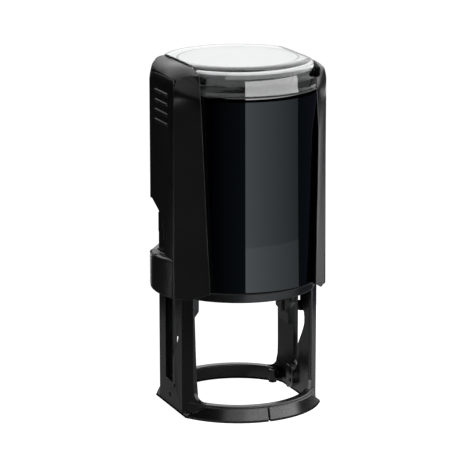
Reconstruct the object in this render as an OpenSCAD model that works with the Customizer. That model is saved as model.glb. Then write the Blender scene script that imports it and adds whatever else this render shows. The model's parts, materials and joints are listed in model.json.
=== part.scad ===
// Self inking stamp for a round imprint. A housing with a clear cap slides down over a fixed
// frame against a return spring. The die hangs on an axle in the housing, and cam pins in curved
// slots of the frame turn it over from the ink pad to the paper.
// Origin at the centre of the foot's underside, +Z up, -Y the glossy front, uprights at -X and +X.

/* [Die and stroke] */
// Radius of the round die plate
die_r = 15; // [12:0.5:20]
// Bare margin of the die around the printed area
print_margin = 0.5; // [0.3:0.1:2]
// Distance from the axle to the printing face
die_h = 8.6; // [8:0.1:11]
// Height of the raised print lines over the rubber sheet
relief_h = 0.8; // [0.5:0.1:1.2]
// Thickness of the rubber sheet under the print lines
rubber_t = 1.5; // [1:0.1:2]
// Thickness of the foam cushion under the rubber
cushion_t = 1.0; // [0.6:0.1:1.5]
// Thickness of the carrier's plate
plate_t = 2.0; // [1.4:0.1:2.4]
// Travel of the housing from rest to the paper
stroke = 27; // [24:0.5:30]
// Height of the printing face over the paper at the end of the stroke
print_gap = 0.05; // [0.02:0.01:0.2]
// Side clearance between the die and the uprights
die_gap = 0.3; // [0.2:0.05:0.6]

/* [Axle and cam pins] */
// Radius of the die axle
axle_r = 1.25; // [1:0.05:1.6]
// Radial running clearance of the axle in its bearings
axle_fit = 0.05; // [0.02:0.01:0.1]
// Clearance of the axle and the cam pins in the slots of the frame
slot_gap = 0.15; // [0.1:0.05:0.3]
// Distance of the cam pins from the axle
cam_r = 4.8; // [4.4:0.1:5.2]
// Radius of the cam pins
pin_r = 1.05; // [0.8:0.05:1.2]
// Length of the carrier's cheeks below the axle
cheek_len = 13; // [11:0.5:13]

/* [Frame] */
// Width of the foot ring's wall around its window
ring_w = 2.4; // [1.8:0.1:3]
// Height of the foot ring
foot_h = 4.05; // [3:0.05:5]
// Width of the ledge on the apron around the foot ring
apron_w = 0.7; // [0.4:0.1:1.2]
// Step from the foot ring's top down to that ledge
apron_drop = 0.35; // [0.2:0.05:0.8]
// Spread of the apron towards the paper
foot_flare = 1.0; // [0.6:0.1:1.4]
// Height of the foot plate under each upright
foot_plate_h = 1.2; // [0.8:0.1:2]
// Width of an upright from its inner to its outer face
post_t = 4.2; // [3.8:0.1:5]
// Half width of an upright's flat outer face
post_half_d = 8.5; // [8:0.1:9]
// Length of the slanted wings along an upright's front and back edges
wing_len = 3.4; // [2.4:0.1:3.6]
// Thickness of those wings at their edges
wing_t = 0.95; // [0.7:0.05:1.2]
// Distance from an upright's inner face to its web
web_step = 1.7; // [1.4:0.1:1.8]
// Depth of the recess in an upright's outer face
recess_d = 1.2; // [0.8:0.1:1.3]
// Depth of the cam groove in an upright's inner face
groove_d = 0.7; // [0.5:0.1:0.8]
// Thickness of the bridge deck over the ink pad
deck_t = 2.0; // [1.6:0.1:3]

/* [Ink pad] */
// Room between the resting die and the pad, for the die's edge as it starts to turn
pad_gap = 1.95; // [1.9:0.05:2.6]
// Thickness of the felt
felt_t = 4.4; // [3:0.1:4.6]
// How far the felt stands out of its tray
felt_show = 0.4; // [0.2:0.1:0.8]
// Height of the pad tray
tray_h = 5.3; // [5:0.1:6]
// Clearance of the pad tray in the frame
tray_gap = 0.15; // [0.1:0.05:0.3]

/* [Housing] */
// Height of the housing from its lower edge to the top of the cap
house_h = 62.2; // [58:0.1:70]
// Wall of the housing
house_wall = 1.8; // [1.6:0.1:2.4]
// Running clearance between the housing and the frame
house_gap = 0.3; // [0.2:0.05:0.5]
// How far the round front and back stand out past the flat sides
front_bulge = 0.3; // [0.2:0.05:0.6]
// How far the flat sides reach past the uprights to the front and back
flat_margin = 1.5; // [1.2:0.1:2.2]
// Gap between the housing and the foot ring at the end of the stroke
landing_gap = 1.35; // [1:0.05:3]
// Radius of the rounded shoulders, seen from the front
shoulder_r = 8; // [6:0.5:9]
// Radius of the rounding at the top of the corner facets
crown_r = 7; // [5:0.5:8]
// Height of the lower inset rim below the glossy panels
rim_h = 2.5; // [1.5:0.1:4]
// Depth of the inset of that rim
rim_inset = 1.0; // [0.6:0.1:1.1]

/* [Panels and grips] */
// Thickness of the glossy panels and the side grips
panel_t = 0.8; // [0.6:0.05:1]
// Distance of the panels' side edges from the flat sides at the lower edge
panel_in_low = 7.5; // [6.5:0.1:9]
// Distance of those edges from the flat sides at the top of the cap
panel_in_top = 4.7; // [4.2:0.1:5.1]
// Seam around the panels, the grips and the cap
seam = 0.1; // [0.05:0.05:0.2]
// Height of the bearing band at the foot of each side grip
band_h = 12; // [9:0.5:14]
// How far the round bearing bands bulge out past the flat sides
band_bulge = 2; // [1.7:0.1:3]
// Distance of the grips' upper edge from the top of the housing
grip_drop = 4.1; // [3.5:0.1:8]
// Radius of the grips' upper corners
grip_corner_r = 2.7; // [1.5:0.1:4]
// Number of finger ridges on each grip
ridge_count = 4; // [2:1:6]
// Spacing of the finger ridges
ridge_pitch = 2.65; // [2:0.05:3.5]
// Length of a finger ridge
ridge_len = 10; // [6:0.5:14]
// Height of the rear window for the ink pad
rear_win_h = 11.7; // [10:0.1:13]
// Place of the rear window's front edge on the flat sides
rear_win_front = -1.4; // [-3:0.1:2]

/* [Cap and card] */
// Height of the clear cap's skirts at front and back
cap_h = 7.3; // [6.8:0.1:9]
// Rounding of the cap's upper edge
cap_edge_r = 3; // [2:0.1:3.5]
// Thickness of the cap's top
cap_top_t = 1.5; // [1.2:0.1:2]
// Thickness of the cap's skirts
cap_skirt_t = 1.0; // [0.8:0.05:1.1]
// Margin between the index card and the sides of the cap
card_margin = 0.9; // [0.7:0.1:3]
// Thickness of the index card
card_t = 0.4; // [0.3:0.05:0.6]
// Height of the tray that carries the card
card_tray_h = 2.6; // [1.6:0.1:3]

/* [Return spring] */
// Mean radius of the coil
spring_r = 7.4; // [6.6:0.1:9]
// Radius of the wire
wire_r = 0.5; // [0.4:0.05:0.6]
// Number of coils
spring_turns = 6; // [5:1:6]

/* [Hidden] */
$fn = 96;
// Reach of a cutting tool past the face that it cuts
past = 1;
// Length that spans the whole part
span = 120;

// Frame, from the inside out
post_in = die_r + die_gap;
post_out = post_in + post_t;
web_in = post_in + web_step;
web_out = post_out - recess_d;
// Edges of the wings, and the foot ring's wall around them
wing_turn = 47;
wing_out = [post_out - wing_len * cos(wing_turn), post_half_d + wing_len * sin(wing_turn)];
wing_in = wing_out - [wing_t, 0];
wing_past = 0.5;
ring_r = norm(wing_out) + wing_past;
window_r = ring_r - ring_w;
// Bevel along the foot ring's edges
ring_edge = 0.25;
// Clearance of the uprights in their seats on the foot ring
foot_gap = 0.05;

// Heights, from the paper up
axle_z = stroke + die_h + print_gap;
felt_z = axle_z + die_h + pad_gap;
tray_z = felt_z + felt_show;
deck_gap = 0.3;
deck_z = tray_z + tray_h + deck_gap;
deck_top = deck_z + deck_t;
shelf_t = 1.2;
house_bottom = foot_h + landing_gap + stroke;
house_top = house_bottom + house_h;
band_top = house_bottom + band_h;
rear_win_top = band_top + rear_win_h;
panel_z = house_bottom + rim_h;
cap_z = house_top - cap_h;
panel_top = cap_z - seam;
card_z = house_top - cap_top_t - seam - card_t;
ceiling_top = card_z - card_tray_h;
ceiling_t = 1.6;
ceiling_z = ceiling_top - ceiling_t;

// Housing outline, from the uprights out
flat_x = post_out + house_gap + house_wall;
house_r = flat_x + front_bulge;
flat_half = post_half_d + flat_margin;
band_r = flat_x + band_bulge;
panel_half_low = flat_x - panel_in_low;
panel_half_top = flat_x - panel_in_top;
card_r = panel_half_top - card_margin;
// Angle from the front at which the flat corner facets leave the round front
facet_angle = 36;
facet_end = [house_r * sin(facet_angle), house_r * cos(facet_angle)];
facet_run = [facet_end[0] - flat_x, facet_end[1] - flat_half];
facet_n = [facet_run[1], -facet_run[0]] / norm(facet_run);
facet_d = facet_n * [flat_x, flat_half];

// Corner facets and shoulders
crown_gap = 0.2;
crown_x = norm([flat_x, flat_half]) + crown_gap;
// Ends of the slanted lower edge between the front rim and the side skirts
skirt_high_in = 1.1;
skirt_low_in = 2.4;
skirt_high_x = panel_half_low + skirt_high_in;
skirt_low_x = flat_x - skirt_low_in;

// Rear window on the flat sides: leaning front edge up to a knee, then a bend to the upper edge
win_lean = 1.1;
win_knee_h = 6.1;
win_bend = [2.9, 3.1];

// Ink pad
print_r = die_r - print_margin;
felt_past = 0.3;
felt_r = print_r + felt_past;
felt_gap = 0.1;
handle_gap = 0.4;
tray_front_gap = 1.1;

// Axle ends in the bearing bands
axle_end_past = 0.4;
axle_end = flat_x + axle_end_past;
axle_end_gap = 0.2;

// Turns of the die at which the recess of an upright leaves its straight mouth, between which it
// follows the cam path, and between which the cam groove is open through the web to the axle slot
mouth_turn = 40;
recess_turns = [25, 150];
open_turns = [70, 165];

// Distance of the uppermost finger ridge from the grip's upper edge
ridge_drop = 4.4;

// Die, measured from the axle
rubber_top = die_h - relief_h;
cushion_top = rubber_top - rubber_t;
plate_top = cushion_top - cushion_t;
plate_low = plate_top - plate_t;
cheek_t = 1.5;
cheek_out = die_r - seam;
hub_wall = 1.15;
hub_r = axle_r + hub_wall;

// Spring seats
spring_len = ceiling_z - deck_top;
seat_gap = 0.5;
seat_r = spring_r - wire_r - seat_gap;
seat_h_full = 3;
seat_h = min(seat_h_full, 0.42 * (spring_len - stroke));

plastic = "#1d1e20";
matte = "#2a2b2d";
gloss = "#0b0d0f";
steel = "#b9bdc1";

// Shared helpers

// Extrudes a shape drawn in Y and Z along X, from x0 over length len
module along_x(x0, len) {
  translate([x0, 0, 0]) rotate([90, 0, 90]) linear_extrude(len) children();
}

// Extrudes a shape drawn in X and Z through the whole depth of the part
module along_y() {
  rotate([90, 0, 0]) linear_extrude(span, center = true) children();
}

// Keeps the front half (side -1) or the back half (side 1) of its children
module half(side) {
  intersection() {
    children();
    translate([-span / 2, side < 0 ? -span : 0, -past]) cube([span, span, span]);
  }
}

// Rounded rectangle top: half width w, height h, corner radius r, in the first two axes
module dome_profile(w, h, r) {
  lift = 0.02 * r;
  intersection() {
    translate([-w, 0]) square([2 * w, h]);
    union() {
      translate([-w, 0]) square([2 * w, h - r + lift]);
      translate([-(w - r + lift), 0]) square([2 * (w - r + lift), h]);
      for (s = [-1, 1]) translate([s * (w - r + lift), h - r + lift]) circle(r);
    }
  }
}

// Housing outline seen from above, moved inwards by inset
module plan(inset) {
  flat = flat_x - inset;
  corner = (facet_d - inset - facet_n[0] * flat) / facet_n[1];
  inner = (facet_d - inset - facet_n[0] * facet_end[0]) / facet_n[1];
  intersection() {
    union() {
      circle(house_r - inset);
      polygon([[flat, -corner], [flat, corner], [facet_end[0], inner], [-facet_end[0], inner],
        [-flat, corner], [-flat, -corner], [-facet_end[0], -inner], [facet_end[0], -inner]]);
    }
    square([2 * flat, 3 * house_r], center = true);
  }
}

// Outer form of the housing with its shoulders, moved inwards by inset
module house_form(inset) {
  intersection() {
    translate([0, 0, house_bottom]) linear_extrude(house_h) plan(inset);
    along_y() dome_profile(flat_x - inset, house_top - inset, shoulder_r - inset);
    rotate_extrude() intersection() {
      dome_profile(crown_x - inset, house_top - inset, crown_r - inset);
      square([span, span]);
    }
  }
}

// Half width of the glossy front and of the cap at height z
function panel_half(z) = panel_half_low
  + (panel_half_top - panel_half_low) * (z - panel_z) / (house_top - panel_z);

// Wedge between the corner facets from z0 to z1, with each side drawn in by shrink
module wedge(z0, z1, shrink) {
  low = panel_half(z0) - shrink;
  high = panel_half(z1) - shrink;
  along_y() polygon([[-low, z0], [low, z0], [high, z1], [-high, z1]]);
}

// Ring of space outside radius r
module outside(r) {
  difference() {
    cylinder(r = span, h = 2 * span, center = true);
    cylinder(r = r, h = 3 * span, center = true);
  }
}

// Cam path of the pins at turn a of the die, in Y and Z
function cam_point(a) = [-cam_r * sin(a), axle_z - stroke * a / 180 - cam_r * cos(a)];
function cam_run(a) = let (v = [-cam_r * cos(a), cam_r * sin(a) - stroke / PI]) v / norm(v);
function cam_side(a, w) = let (t = cam_run(a)) cam_point(a) + w * [-t[1], t[0]];

// Slot of half width w along the cam path from turn a0 to a1
module cam_slot(a0, a1, w) {
  steps = 18;
  turns = [for (i = [0 : steps]) a0 + (a1 - a0) * i / steps];
  polygon(concat([for (a = turns) cam_side(a, w)],
    [for (i = [steps : -1 : 0]) cam_side(turns[i], -w)]));
  for (a = [a0, a1]) translate(cam_point(a)) circle(w);
}

// Straight slot of the axle through the whole stroke
module axle_slot() {
  w = axle_r + slot_gap;
  translate([-w, axle_z - stroke]) square([2 * w, stroke]);
  for (z = [axle_z - stroke, axle_z]) translate([0, z]) circle(w);
}

// Opening through the web between the cam groove's front edge and the axle slot
module cam_opening() {
  steps = 9;
  turns = [for (i = [0 : steps]) open_turns[0] + (open_turns[1] - open_turns[0]) * i / steps];
  polygon(concat([for (a = turns) cam_side(a, -pin_r - slot_gap)],
    [[0, cam_point(open_turns[1])[1]], [0, cam_point(open_turns[0])[1]]]));
}

// Recess in the outer face of an upright: straight behind, bulging along the cam path in front
module post_recess() {
  back = 3.7;
  low = axle_z - stroke - axle_r - slot_gap;
  lean = axle_r + 2 * slot_gap;
  mouth = cam_r - pin_r;
  top = deck_z - shelf_t;
  union() {
    polygon([[back, top], [back, low], [-lean, low], [-lean, cam_point(recess_turns[1])[1]],
      [-mouth, cam_point(mouth_turn)[1]], [-mouth, top]]);
    cam_slot(recess_turns[0], recess_turns[1], pin_r + slot_gap);
  }
}

// Foot and frame

// Plan of the channel of the +X upright: its web and the two slanted wings, moved outwards by grow
module post_plan(grow) {
  side = [post_out + grow, post_half_d + grow];
  outer = wing_out + [grow, grow];
  inner = wing_in + [-grow, grow];
  web = [web_in - grow, post_half_d];
  polygon([[side[0], -side[1]], [outer[0], -outer[1]], [inner[0], -inner[1]], [web[0], -web[1]],
    web, inner, outer, side]);
}

// Open space in the foot ring in front of that channel
module post_room() {
  polygon([[post_in, -wing_in[1]], [wing_in[0], -wing_in[1]], [web_in, -post_half_d],
    [web_in, post_half_d], wing_in, [post_in, wing_in[1]]]);
}

// Wall of the foot ring around its window
module ring_section() {
  polygon([[window_r, 0], [ring_r, 0], [ring_r, foot_h - ring_edge], [ring_r - ring_edge, foot_h],
    [window_r + ring_edge, foot_h], [window_r, foot_h - ring_edge]]);
}

// Apron that spreads from the wall to the paper
module apron_section() {
  ledge = foot_h - apron_drop;
  inside = ring_r - ring_edge;
  polygon([[inside, 0], [ring_r + apron_w + foot_flare, 0], [ring_r + apron_w, ledge - ring_edge],
    [ring_r + apron_w - ring_edge, ledge], [inside, ledge]]);
}

module foot_ring() {
  tick_w = 0.5;
  tick_d = 0.3;
  lug_r = 1.1;
  lug_drop = 0.4;
  lug_past = 0.8;
  lug_at = window_r + lug_past - lug_r;
  lug_turn = 35.5;
  lug_bore_r = 0.5;
  lug_bore_h = 1.2;
  // The apron's ledge runs down to the paper at the flat sides
  slope_run = 4.3;
  slope_start = post_out - slope_run;
  slope_end_h = 0.5;
  ledge = foot_h - apron_drop;
  rim = ring_r + apron_w + foot_flare;
  color(plastic) difference() {
    union() {
      difference() {
        intersection() {
          union() {
            rotate_extrude() ring_section();
            intersection() {
              rotate_extrude() apron_section();
              along_y() polygon([[-post_out, -past], [post_out, -past], [post_out, slope_end_h],
                [slope_start, ledge], [-slope_start, ledge], [-post_out, slope_end_h]]);
            }
          }
          translate([-post_out, -span / 2, -past]) cube([2 * post_out, span, span]);
        }
        // Room of the uprights
        for (s = [-1, 1]) mirror([s < 0 ? 1 : 0, 0, 0]) {
          translate([0, 0, foot_plate_h]) linear_extrude(foot_h) post_plan(foot_gap);
          translate([0, 0, -past]) linear_extrude(span) post_room();
        }
      }
      // Foot plates under the uprights
      for (s = [-1, 1]) mirror([s < 0 ? 1 : 0, 0, 0]) linear_extrude(foot_plate_h) post_plan(0);
      // Two round lugs at the back corners of the window
      for (s = [-1, 1]) translate([s * lug_at * cos(lug_turn), lug_at * sin(lug_turn), 0])
        cylinder(r = lug_r, h = foot_h - lug_drop);
    }
    for (s = [-1, 1])
      translate([s * lug_at * cos(lug_turn), lug_at * sin(lug_turn), foot_h - lug_drop - lug_bore_h])
        cylinder(r = lug_bore_r, h = lug_bore_h + past);
    // Centre marks at front and back
    for (s = [-1, 1]) translate([0, s * rim, 0])
      cube([tick_w, 2 * (tick_d + foot_flare), 3 * foot_h], center = true);
  }
}

// Upright on the +X side
module upright() {
  base_r = 2.4;
  base_tip = 0.15;
  low_hole_r = 0.6;
  low_hole_y = 0.6;
  low_hole_z = 2;
  high_hole_r = 0.45;
  high_hole_y = -2.7;
  high_hole_z = 5.4;
  shelf_z = tray_z - shelf_t;
  // Guide behind the axle slot, from the shelf down to its slanted lower edge
  guide_set = 0.2;
  guide_in = post_in + guide_set;
  guide_front = axle_r + 2 * slot_gap;
  guide_lift = 10.2;
  guide_low = axle_z - stroke + guide_lift;
  guide_slant = 0.6;
  // Rib below the axle slot, with a slanted lower edge
  rib_set = 0.5;
  rib_in = post_in + rib_set;
  rib_front = -1;
  rib_point = 2.4;
  rib_back = 3.4;
  rib_slant = 1.4;
  rib_top = axle_z - stroke - axle_r - 2 * slot_gap;
  difference() {
    union() {
      translate([0, 0, foot_plate_h]) linear_extrude(shelf_z - foot_plate_h) post_plan(0);
      translate([post_in, -post_half_d, shelf_z]) cube([post_t, 2 * post_half_d, deck_z - shelf_z]);
      along_x(guide_in, web_out - guide_in)
        polygon([[guide_front, guide_low], [post_half_d, guide_low + guide_slant],
          [post_half_d, shelf_z + shelf_t / 2], [guide_front, shelf_z + shelf_t / 2]]);
      along_x(rib_in, web_out - rib_in)
        polygon([[rib_back, foot_plate_h], [rib_point, foot_plate_h], [rib_front, foot_plate_h + rib_slant],
          [rib_front, rib_top], [rib_back, rib_top]]);
    }
    // Bay of the pad tray
    translate([post_in - past, -post_half_d - past, tray_z])
      cube([web_step + past, 2 * (post_half_d + past), span]);
    along_x(web_out, recess_d + past) post_recess();
    along_x(post_in - past, web_step + groove_d + past) cam_slot(0, 180, pin_r + slot_gap);
    along_x(post_in - past, post_t + 2 * past) {
      axle_slot();
      cam_opening();
    }
    // Assembly holes
    along_x(post_in - past, post_t + 2 * past) translate([0, foot_plate_h]) {
      translate([low_hole_y, low_hole_z]) circle(low_hole_r);
      translate([high_hole_y, high_hole_z]) circle(high_hole_r);
    }
  }
  // Fillets from the wings on to the foot ring
  for (s = [-1, 1]) intersection() {
    difference() {
      cylinder(r = norm(wing_out), h = span);
      cylinder(r = norm(wing_in), h = 3 * span, center = true);
    }
    mirror([0, s < 0 ? 1 : 0, 0]) along_x(wing_in[0] - 2 * base_r, 2 * base_r + wing_t)
      translate([wing_out[1] - base_tip, foot_h]) difference() {
        square(base_r + base_tip);
        translate([base_r + 2 * base_tip, base_r + base_tip]) circle(base_r);
      }
  }
}

module right_upright() {
  color(plastic) upright();
}

module left_upright() {
  color(plastic) mirror([1, 0, 0]) upright();
}

module pad_bridge() {
  rib_t = 1.2;
  rib_h = 1.6;
  post_wall = 1.6;
  color(plastic) {
    translate([-post_out, -post_half_d, deck_z]) cube([2 * post_out, 2 * post_half_d, deck_t]);
    // Post inside the spring, hollow from above
    difference() {
      translate([0, 0, deck_z]) cylinder(r = seat_r, h = deck_t + seat_h);
      translate([0, 0, deck_top]) cylinder(r = seat_r - post_wall, h = seat_h + past);
    }
    // Ribs along the deck's front and back edges
    for (s = [-1, 1]) translate([-post_out, s * (post_half_d - rib_t / 2) - rib_t / 2, deck_z])
      cube([2 * post_out, rib_t, deck_t + rib_h]);
  }
}

module ink_pad_tray() {
  body_r = house_r - house_wall - tray_front_gap;
  body_x = web_in - tray_gap;
  handle_y = post_half_d + handle_gap;
  handle_in = house_wall + handle_gap;
  tooth_r = 0.35;
  teeth = 6;
  color(matte) difference() {
    union() {
      translate([0, 0, tray_z]) linear_extrude(tray_h) intersection() {
        circle(body_r);
        square([2 * body_x, 3 * body_r], center = true);
      }
      // Pull handle behind the uprights
      translate([0, 0, tray_z]) linear_extrude(tray_h) intersection() {
        plan(handle_in);
        translate([-span, handle_y]) square([2 * span, span]);
      }
    }
    translate([0, 0, tray_z - past]) cylinder(r = felt_r + felt_gap, h = felt_t - felt_show + past);
    // Finger serrations on the handle's two facets
    for (s = [-1, 1], i = [1 : teeth]) {
      at = facet_n * (facet_d - handle_in) + [facet_n[1], -facet_n[0]] * (i - 0.6) * 3 * tooth_r;
      translate([s * at[0], at[1], tray_z - past]) cylinder(r = tooth_r, h = tray_h + 2 * past);
    }
  }
}

module ink_pad_felt() {
  color("#20243a") translate([0, 0, felt_z]) cylinder(r = felt_r, h = felt_t);
}

// Return spring

// Point of the coil at turn t, counted in whole turns
function coil_point(t) = [spring_r * cos(360 * t), spring_r * sin(360 * t),
  deck_top + wire_r + (spring_len - 2 * wire_r) * t / spring_turns];
// Ring of the wire around a point, square to its run
function wire_ring(p, run, sides) = let (
  n = run / norm(run),
  e1 = [p[0], p[1], 0] / norm([p[0], p[1]]),
  e2 = cross(n, e1)
) [for (k = [0 : sides - 1]) p + wire_r * (cos(360 * k / sides) * e1 + sin(360 * k / sides) * e2)];

module return_spring() {
  per_turn = 8;
  sides = 6;
  last = per_turn * spring_turns;
  mid = [for (i = [0 : last]) coil_point(i / per_turn)];
  start_run = [0, 1, 0];
  end_run = [-mid[last][1], mid[last][0], 0] / spring_r;
  line = concat([mid[0] - 2 * wire_r * start_run], mid, [mid[last] + 2 * wire_r * end_run]);
  count = len(line);
  rings = [for (i = [0 : count - 1])
    let (run = i == 0 ? start_run : i == count - 1 ? end_run : line[i + 1] - line[i - 1])
    wire_ring(line[i], run, sides)];
  points = [for (r = rings) each r];
  walls = [for (i = [0 : count - 2], k = [0 : sides - 1])
    let (a = i * sides + k, b = i * sides + (k + 1) % sides) each
    [[a, a + sides, b], [b, a + sides, b + sides]]];
  caps = [for (k = [1 : sides - 2]) each
    [[0, k, k + 1], [(count - 1) * sides, (count - 1) * sides + k + 1, (count - 1) * sides + k]]];
  gaps = [for (i = [0 : last - per_turn]) norm(mid[i + per_turn] - mid[i]) - 2 * wire_r];
  echo(least_coil_gap = min(gaps));
  color(steel) polyhedron(points, concat(walls, caps));
}

// Housing

// Rear window for the ink pad, drawn in Y and Z
module rear_window() {
  knee = [rear_win_front + win_lean, band_top + win_knee_h];
  polygon([[rear_win_front, band_top], knee, knee + win_bend, [post_half_d, rear_win_top],
    [span, rear_win_top], [span, band_top]]);
}

// Face of a side grip, drawn in Y and Z, with its border moved inwards by inset
module grip_face(inset) {
  w = flat_half - 2.5 * seam - inset;
  top = house_top - grip_drop - inset;
  translate([0, house_bottom - past]) dome_profile(w, top - house_bottom + past, grip_corner_r);
}

module housing_shell() {
  color(matte) difference() {
    house_form(0);
    // Inner space for the frame, and the post inside the spring's upper end
    difference() {
      translate([0, 0, house_bottom - past]) linear_extrude(ceiling_z - house_bottom + past) plan(house_wall);
      translate([0, 0, ceiling_z - seat_h]) cylinder(r = seat_r, h = span);
    }
    // Bays of the glossy panels
    half(-1) intersection() {
      wedge(panel_z, panel_top + seam / 2, 0);
      outside(house_r - panel_t - seam / 2);
    }
    half(1) intersection() {
      wedge(rear_win_top + seam, panel_top + seam / 2, 0);
      outside(house_r - panel_t - seam / 2);
    }
    // Inset rim along the lower edge
    intersection() {
      along_y() polygon([[-skirt_high_x, panel_z], [skirt_high_x, panel_z],
        [skirt_low_x, house_bottom], [skirt_low_x, house_bottom - past],
        [-skirt_low_x, house_bottom - past], [-skirt_low_x, house_bottom]]);
      outside(house_r - rim_inset);
    }
    // Bay of the cap's skirts, and of the card tray above the ceiling
    intersection() {
      wedge(panel_top + seam / 2, ceiling_top + past, 0);
      outside(house_r - cap_skirt_t - seam);
    }
    wedge(ceiling_top, house_top + past, 0);
    // Bays of the side grips
    for (s = [-1, 1]) difference() {
      along_x(s < 0 ? -span : 0, span) grip_face(-seam);
      house_form(panel_t + seam / 2);
      along_y() translate([-post_out, 0]) square([2 * post_out, span]);
    }
    along_x(-span / 2, span) rear_window();
    // Bearings of the die axle
    along_x(-span / 2, span) translate([0, axle_z]) circle(axle_r + axle_fit);
  }
}

module front_panel() {
  color(gloss) half(-1) intersection() {
    wedge(panel_z, panel_top, seam);
    difference() {
      cylinder(r = house_r, h = span);
      translate([0, 0, -past]) cylinder(r = house_r - panel_t, h = span + 2 * past);
    }
  }
}

module rear_panel() {
  color(gloss) half(1) intersection() {
    wedge(rear_win_top + 2 * seam, panel_top, seam);
    difference() {
      cylinder(r = house_r, h = span);
      translate([0, 0, -past]) cylinder(r = house_r - panel_t, h = span + 2 * past);
    }
  }
}

// Side grip on the +X side with its finger ridges and its bearing band
module side_grip() {
  ridge_r = 0.55;
  ridge_sink = 0.15;
  ridge_top = house_top - grip_drop - ridge_drop;
  difference() {
    union() {
      difference() {
        intersection() {
          house_form(0);
          along_x(0, span) grip_face(0);
        }
        house_form(panel_t);
      }
      intersection() {
        translate([0, 0, house_bottom]) cylinder(r = band_r, h = band_h);
        along_x(flat_x - panel_t, span) grip_face(0);
      }
      for (i = [0 : ridge_count - 1])
        translate([flat_x - ridge_sink, -ridge_len / 2, ridge_top - i * ridge_pitch])
          rotate([-90, 0, 0]) cylinder(r = ridge_r, h = ridge_len, $fn = 32);
    }
    along_x(-span / 2, span) rear_window();
    along_x(0, axle_end + axle_end_gap) translate([0, axle_z]) circle(axle_r + axle_fit);
  }
}

module right_side_grip() {
  color(plastic) side_grip();
}

module left_side_grip() {
  color(plastic) mirror([1, 0, 0]) side_grip();
}

module card_tray() {
  tray_in = 1.1;
  tray_r = house_r - cap_skirt_t - tray_in;
  color(plastic) intersection() {
    translate([0, 0, ceiling_top]) cylinder(r = tray_r, h = card_tray_h);
    wedge(ceiling_top, card_z, 3 * seam);
  }
}

module index_card() {
  color("white") translate([0, 0, card_z]) cylinder(r = card_r, h = card_t);
}

// Solid of revolution with the cap's rounded upper edge
module cap_body(r, top, edge) {
  rotate_extrude() intersection() {
    dome_profile(r, top, edge);
    square([span, span]);
  }
}

module clear_cap() {
  color([0.9, 0.94, 0.96, 0.35]) intersection() {
    difference() {
      cap_body(house_r, house_top, cap_edge_r);
      cap_body(house_r - cap_skirt_t, house_top - cap_top_t, cap_edge_r - cap_skirt_t);
    }
    wedge(cap_z, house_top + past, seam);
  }
}

// Die, drawn with the axle at the origin and the print upwards

// Raised print: two rings, a bar of blank lines and a row of dots, with no lettering
module print_lines() {
  ring_t = 0.9;
  inner = 0.66 * print_r;
  bar = [1.2 * inner, 1.1];
  bars = 3;
  pitch = 0.3 * inner;
  dots = 16;
  difference() {
    circle(print_r);
    circle(print_r - ring_t);
  }
  difference() {
    circle(inner);
    circle(inner - ring_t / 2);
  }
  for (i = [0 : bars - 1]) translate([0, (i - (bars - 1) / 2) * pitch]) square(bar, center = true);
  for (i = [0 : dots - 1]) rotate(360 * i / dots) translate([(print_r + inner) / 2 - ring_t / 4, 0])
    circle(ring_t, $fn = 24);
}

module die_carrier() {
  cheek_w = 5.5;
  // Lower corners of the cheeks, at the front and at the back
  front_rise = 4.4;
  back_rise = 1;
  front_low = cheek_len - front_rise;
  back_low = cheek_len - back_rise;
  // Groove and thin ribs on the cheeks' inner faces
  cheek_in = cheek_out - cheek_t;
  groove_in = 0.5;
  groove_w = 2.4;
  fin_h = 0.4;
  fin_w = 0.5;
  fin_first = 2.6;
  fin_pitch = 1.7;
  rib_t = 1.2;
  rib_h = 1.6;
  color(plastic) translate([0, 0, axle_z]) difference() {
    union() {
      translate([0, 0, plate_low]) cylinder(r = die_r, h = plate_t);
      for (s = [-1, 1]) along_x(s < 0 ? -cheek_out : cheek_out - cheek_t, cheek_t)
        polygon([[-cheek_w, plate_low], [cheek_w, plate_low], [cheek_w, -back_low], [0, -cheek_len],
          [-cheek_w, -front_low]]);
      for (s = [-1, 1], i = [0, 1])
        translate([s * (cheek_in - fin_h / 2), -fin_first - i * fin_pitch, -front_low / 2])
          cube([fin_h + seam, fin_w, front_low], center = true);
      for (s = [-1, 1]) along_x(s < 0 ? -cheek_out : cheek_out - 2 * cheek_t, 2 * cheek_t) circle(hub_r);
      // Ribs under the plate
      translate([-cheek_out + cheek_t, -rib_t / 2, plate_low - rib_h])
        cube([2 * (cheek_out - cheek_t), rib_t, rib_h]);
      for (s = [-1, 1]) translate([s * die_r / 3 - rib_t / 2, -0.7 * die_r, plate_low - rib_h])
        cube([rib_t, 1.4 * die_r, rib_h]);
    }
    along_x(-span / 2, span) circle(axle_r + axle_fit);
    // Sockets of the cam pins
    along_x(-span / 2, span) translate([0, -cam_r]) circle(pin_r + axle_fit);
    for (s = [-1, 1]) translate([s * cheek_in, 0, -hub_r - cheek_len])
      cube([2 * groove_in, groove_w, 2 * cheek_len], center = true);
  }
}

module die_axle() {
  color(steel) translate([0, 0, axle_z]) along_x(-axle_end, 2 * axle_end) circle(axle_r);
}

module cam_pins() {
  tip = web_in + groove_d - seam;
  root = cheek_out - cheek_t;
  color(steel) translate([0, 0, axle_z])
    for (s = [-1, 1]) along_x(s < 0 ? -tip : root, tip - root) translate([0, -cam_r]) circle(pin_r);
}

module die_cushion() {
  color("#d9d2bf") translate([0, 0, axle_z + plate_top]) cylinder(r = die_r - seam, h = cushion_t);
}

module rubber_die() {
  color("#8a4a3c") translate([0, 0, axle_z + cushion_top]) {
    cylinder(r = die_r - seam, h = rubber_t);
    linear_extrude(rubber_t + relief_h) print_lines();
  }
}

foot_ring();
left_upright();
right_upright();
pad_bridge();
ink_pad_tray();
ink_pad_felt();
return_spring();
housing_shell();
front_panel();
rear_panel();
left_side_grip();
right_side_grip();
card_tray();
index_card();
clear_cap();
die_carrier();
die_axle();
cam_pins();
die_cushion();
rubber_die();
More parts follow.
